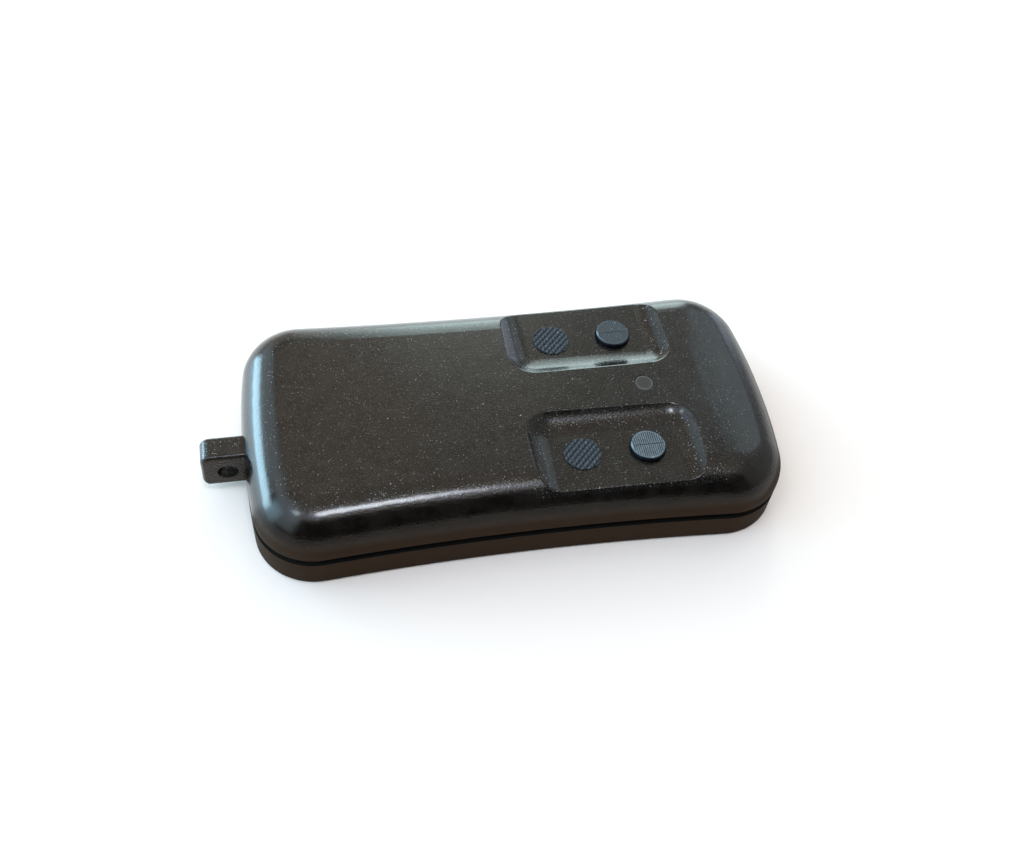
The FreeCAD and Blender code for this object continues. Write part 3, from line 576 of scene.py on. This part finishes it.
def makeBatteryJacket():
    look = batteryJacket
    material, tree, shader, place = startMaterial("battery_jacket")
    low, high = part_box("battery")
    start = low[0] + look["bareEnd"]
    stop = high[0] - look["nub"] - look["bareEnd"]
    along = splitPlace(tree, place)[0]

    def between(first, last):
        return product(tree, mathNode(tree, "GREATER_THAN", along, first),
                       mathNode(tree, "LESS_THAN", along, last))

    sleeve = between(start, stop)
    bandStart, bandEnd = look["bandPlace"]
    tone = mixColour(tree, between(stop + bandStart, stop + bandEnd), look["sleeve"], look["band"])
    tone = mixColour(tree, sleeve, look["metal"], tone)
    wrinkle = brushLines(tree, place, look["wrinkles"])
    rough = linearMap(tree, wrinkle, *cloudRange, *look["roughness"])
    finishShader(tree, shader, tone, rough, wrinkle, look["wrinkleDepth"],
                 {"Metallic": mathNode(tree, "SUBTRACT", 1.0, sleeve)})
    return material


# small capacitor: satin can over a black foot, with a dark mark on one side of its top

capacitorAluminium = {
    "colour": (0.72, 0.73, 0.75),
    "foot": (0.02, 0.02, 0.022),
    "footHeight": mm(0.8)[0],
    "mark": (0.04, 0.04, 0.045),
    "markOffset": mm(0.8)[0],
    "markSkin": mm(0.02)[0],
    "stretch": (3200.0, 3200.0, 300.0),
    "depth": mm(0.003)[0],
    "roughness": (0.26, 0.4),
}


def makeCapacitorAluminium():
    look = capacitorAluminium
    material, tree, shader, place = startMaterial("capacitor_aluminium")
    low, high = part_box("buffer_capacitor")
    parts = splitPlace(tree, place)
    can = mathNode(tree, "GREATER_THAN", parts[2], low[2] + look["footHeight"])
    onTop = mathNode(tree, "GREATER_THAN", parts[2], high[2] - look["markSkin"])
    side = mathNode(tree, "GREATER_THAN", parts[0], (low[0] + high[0]) / 2 + look["markOffset"])
    mark = product(tree, onTop, side)
    tone = mixColour(tree, can, look["foot"], look["colour"])
    tone = mixColour(tree, mark, tone, look["mark"])
    lines = brushLines(tree, place, look["stretch"])
    rough = linearMap(tree, lines, *cloudRange, *look["roughness"])
    finishShader(tree, shader, tone, rough, lines, look["depth"],
                 {"Metallic": product(tree, can, mathNode(tree, "SUBTRACT", 1.0, mark))})
    return material


# fired ceramic and ferrite: grainy, with small dark pores

trimmerCeramic = {"colour": (0.62, 0.55, 0.42), "pore": (0.3, 0.26, 0.2), "roughness": (0.36, 0.5),
                  "grain": 5200.0, "depth": 0.000008, "poreCells": 2600.0, "poreSize": 0.25, "poreAmount": 0.3}
coreFerrite = dict(trimmerCeramic, colour=(0.085, 0.085, 0.09), pore=(0.03, 0.03, 0.032),
                   roughness=(0.44, 0.58), grain=4200.0, depth=0.000012)


def firedCeramic(name, look):
    material, tree, shader, place = startMaterial(name)
    grain = useGroup(tree, grainGroup, Vector=place, Hills=look["grain"])
    pores = specks(tree, place, look["poreCells"], look["poreSize"], look["poreAmount"])
    finishShader(tree, shader, mixColour(tree, pores, look["colour"], look["pore"]),
                 linearMap(tree, grain["Cloud"], *cloudRange, *look["roughness"]),
                 mathNode(tree, "SUBTRACT", grain["Height"], pores), look["depth"])
    return material


# one material for each slot of the record, and own ones for the buttons, the blanks and the coil's wire

materials = {
    "case_plastic": makeCasePlastic(),
    "lamp_resin": makeLampResin(),
    "tinned_leads": drawnMetal("tinned_leads", tinnedLeads),
    "board_laminate": makeBoardLaminate(),
    "screw_steel": drawnMetal("screw_steel", screwSteel),
    "battery_jacket": makeBatteryJacket(),
    "contact_nickel": drawnMetal("contact_nickel", contactNickel),
    "chip_resin": mouldedPlastic("chip_resin", chipResin),
    "can_steel": drawnMetal("can_steel", canSteel),
    "trimmer_ceramic": firedCeramic("trimmer_ceramic", trimmerCeramic),
    "rotor_brass": drawnMetal("rotor_brass", rotorBrass),
    "capacitor_aluminium": makeCapacitorAluminium(),
    "core_ferrite": firedCeramic("core_ferrite", coreFerrite),
    "copper_wire": drawnMetal("copper_wire", copperWire),
    "switch_plastic": mouldedPlastic("switch_plastic", switchPlastic),
}
buttonKinds = {"button_near": "ribbed", "button_far": "faint",
               "blank_plug_near": "blank", "blank_plug_far": "blank"}
special = {name: makeButtonPlastic(name, kind) for name, kind in buttonKinds.items()}
special["coil_winding"] = drawnMetal("copper_winding", copperWire, woundWire)

slotOf = {row["node"]: row["material_slot"] for row in frame["record"]["subparts"]}
for name, piece in frame["nodes"].items():
    piece.data.materials.clear()
    piece.data.materials.append(special[name] if name in special else materials[slotOf[name]])
print("materials placed on", len(frame["nodes"]), "nodes")


# floor

floorLook = {"size": 40.0, "colour": (1.0, 0.87, 0.78), "roughness": 0.4, "below": mm(0.01)[0]}


def makeFloor():
    bpy.ops.object.select_all(action="DESELECT")
    bpy.ops.mesh.primitive_plane_add(size=floorLook["size"], location=(0, 0, -floorLook["below"]))
    floor = bpy.context.object
    floor.name = "floor"
    material, tree, shader, place = startMaterial("floor")
    shader.inputs["Base Color"].default_value = rgba(floorLook["colour"])
    shader.inputs["Roughness"].default_value = floorLook["roughness"]
    floor.data.materials.append(material)


makeFloor()

# sky: each area is painted over the ones before it, with angles in degrees
# azimuth 0 is the far side and 90 is +X
skyBase = (0.06, 0.06, 0.065)
skyPanels = {
    # azimuth, half width, low edge, high edge, softness of the edges, colour
    "ceiling": (0, 200, 54, 120, 4, (0.76, 0.7, 0.61)),
    "ceilingFar": (0, 84, 40, 66, 5, (0.74, 0.69, 0.61)),
    "ceilingBand": (18, 12, 44, 51, 2.5, (0.98, 0.97, 0.89)),
    "leftUpper": (-115, 22, 12, 58, 9, (1.2, 1.5, 1.7)),
    "leftHigh": (-95, 42, 38, 70, 8, (1.4, 1.8, 2.2)),
    "right": (84, 54, -4, 60, 8, (0.46, 0.48, 0.5)),
    "rightLow": (46, 5, -3, 21, 3, (1.4, 1.7, 2.1)),
    "nearWindow": (178, 36, 60, 80, 5, (1.4, 1.8, 2.5)),
    "farLeft": (-24, 28, -6, 34, 3, (0.7, 0.62, 0.55)),
    "leftSlope": (-37, 17, 12, 50, 7, (1.3, 1.6, 1.8)),
    "farWindow": (14, 10, -6, 42, 4, (3.6, 4.6, 4.7)),
    "farRim": (14, 8, 42, 47, 1.5, (1.4, 1.4, 1.32)),
    "shade": (28, 8, 26, 56, 2, (0.6, 0.6, 0.56)),
    "crescent": (46, 13.2, 26, 47.5, 0.7, (1.1, 1.34, 1.48)),
    "leftDoor": (-86, 14, -8, 40, 7, (2.2, 3.6, 4.7)),
    "leftWindow": (-58, 20, -20, 20, 4, (7.4, 12.2, 15.4)),
    "haze": (0, 200, -120, 0.5, 1.5, (0.95, 0.95, 0.95)),
}
skyDiscs = {
    # azimuth, elevation, radius, softness of the edge, colour
    "brownCeiling": (-3.2, 52.3, 7.5, 0.4, (0.86, 0.71, 0.6)),
    "leftLamp": (-113, 62, 5, 3, (8.5, 10.2, 11.9)),
    "nearLamp": (170, 70.5, 5, 3, (25.0, 27.0, 30.0)),
}
white = (1.0, 1.0, 1.0)


def softEdge(group, inside, soft):
    # 0 outside, 1 inside, half on the edge
    return smoothMap(group, mathNode(group, "DIVIDE", inside, soft), -1.0, 1.0)


def makePanelGroup():
    group, given, result = newGroup("softPanel", [("Azimuth", "Float", 0.0), ("HalfWidth", "Float", 30.0),
                                                  ("Low", "Float", 0.0), ("High", "Float", 30.0),
                                                  ("Soft", "Float", 5.0)], ["Mask"])
    parts = splitPlace(group, group.nodes.new("ShaderNodeTexCoord").outputs["Generated"])
    azimuth = mathNode(group, "DEGREES", mathNode(group, "ARCTAN2", parts[0], parts[1]))
    elevation = mathNode(group, "DEGREES", mathNode(group, "ARCSINE", parts[2]))
    turned = mathNode(group, "SUBTRACT", azimuth, given["Azimuth"])
    wrapped = addNode(group, "ShaderNodeMath", {0: turned, 1: 180.0, 2: -180.0}, operation="WRAP")
    away = mathNode(group, "ABSOLUTE", wrapped)
    insides = [(given["HalfWidth"], away), (given["High"], elevation), (elevation, given["Low"])]
    edges = [softEdge(group, mathNode(group, "SUBTRACT", *pair), given["Soft"]) for pair in insides]
    plug(group, product(group, *edges), result["Mask"])
    return group


def makeDiscGroup():
    group, given, result = newGroup("softDisc", [("Towards", "Vector", (0.0, 0.0, 1.0)),
                                                 ("Radius", "Float", 5.0), ("Soft", "Float", 2.0)], ["Mask"])
    direction = group.nodes.new("ShaderNodeTexCoord").outputs["Generated"]
    likeness = addNode(group, "ShaderNodeVectorMath", {0: direction, 1: given["Towards"]},
                       operation="DOT_PRODUCT").outputs["Value"]
    away = mathNode(group, "DEGREES", mathNode(group, "ARCCOSINE", likeness))
    inside = mathNode(group, "SUBTRACT", given["Radius"], away)
    plug(group, softEdge(group, inside, given["Soft"]), result["Mask"])
    return group


def skyDirection(azimuth, elevation):
    flat = math.cos(elevation)
    return (math.sin(azimuth) * flat, math.cos(azimuth) * flat, math.sin(elevation))


def makeSky():
    world = bpy.data.worlds.new("studio")
    bpy.context.scene.world = world
    world.use_nodes = True
    tree = world.node_tree
    tree.nodes.clear()
    colour = skyBase
    panelGroup = makePanelGroup()
    for azimuth, halfWidth, low, high, soft, paint in skyPanels.values():
        mask = useGroup(tree, panelGroup, Azimuth=azimuth, HalfWidth=halfWidth, Low=low, High=high,
                        Soft=soft)["Mask"]
        colour = mixColour(tree, mask, colour, paint)
    discGroup = makeDiscGroup()
    for azimuth, elevation, radius, soft, paint in skyDiscs.values():
        towards = skyDirection(math.radians(azimuth), math.radians(elevation))
        mask = useGroup(tree, discGroup, Towards=towards, Radius=radius, Soft=soft)["Mask"]
        colour = mixColour(tree, mask, colour, paint)
    # the camera sees plain white above the floor
    seen = tree.nodes.new("ShaderNodeLightPath").outputs["Is Camera Ray"]
    colour = mixColour(tree, seen, colour, white)
    light = addNode(tree, "ShaderNodeBackground", {"Color": colour, "Strength": 1.0})
    output = tree.nodes.new("ShaderNodeOutputWorld")
    tree.links.new(light.outputs[0], output.inputs["Surface"])


makeSky()

# camera: where the photo was taken from
cameraLook = {"lens": 43.21765, "sensor": 36.0, "place": (-0.0312648, -0.0992014, 0.1379347),
              "turn": (37.9971, -5.2288, -10.9077), "nearest": 0.005, "farthest": 60.0}


def makeCamera():
    data = bpy.data.cameras.new("camera")
    data.sensor_width = cameraLook["sensor"]
    data.lens = cameraLook["lens"]
    data.clip_start = cameraLook["nearest"]
    data.clip_end = cameraLook["farthest"]
    camera = bpy.data.objects.new("camera", data)
    bpy.context.scene.collection.objects.link(camera)
    camera.location = cameraLook["place"]
    camera.rotation_euler = [math.radians(angle) for angle in cameraLook["turn"]]
    bpy.context.scene.camera = camera


makeCamera()
bpy.context.scene.view_settings.view_transform = "Standard"
print("stage set")
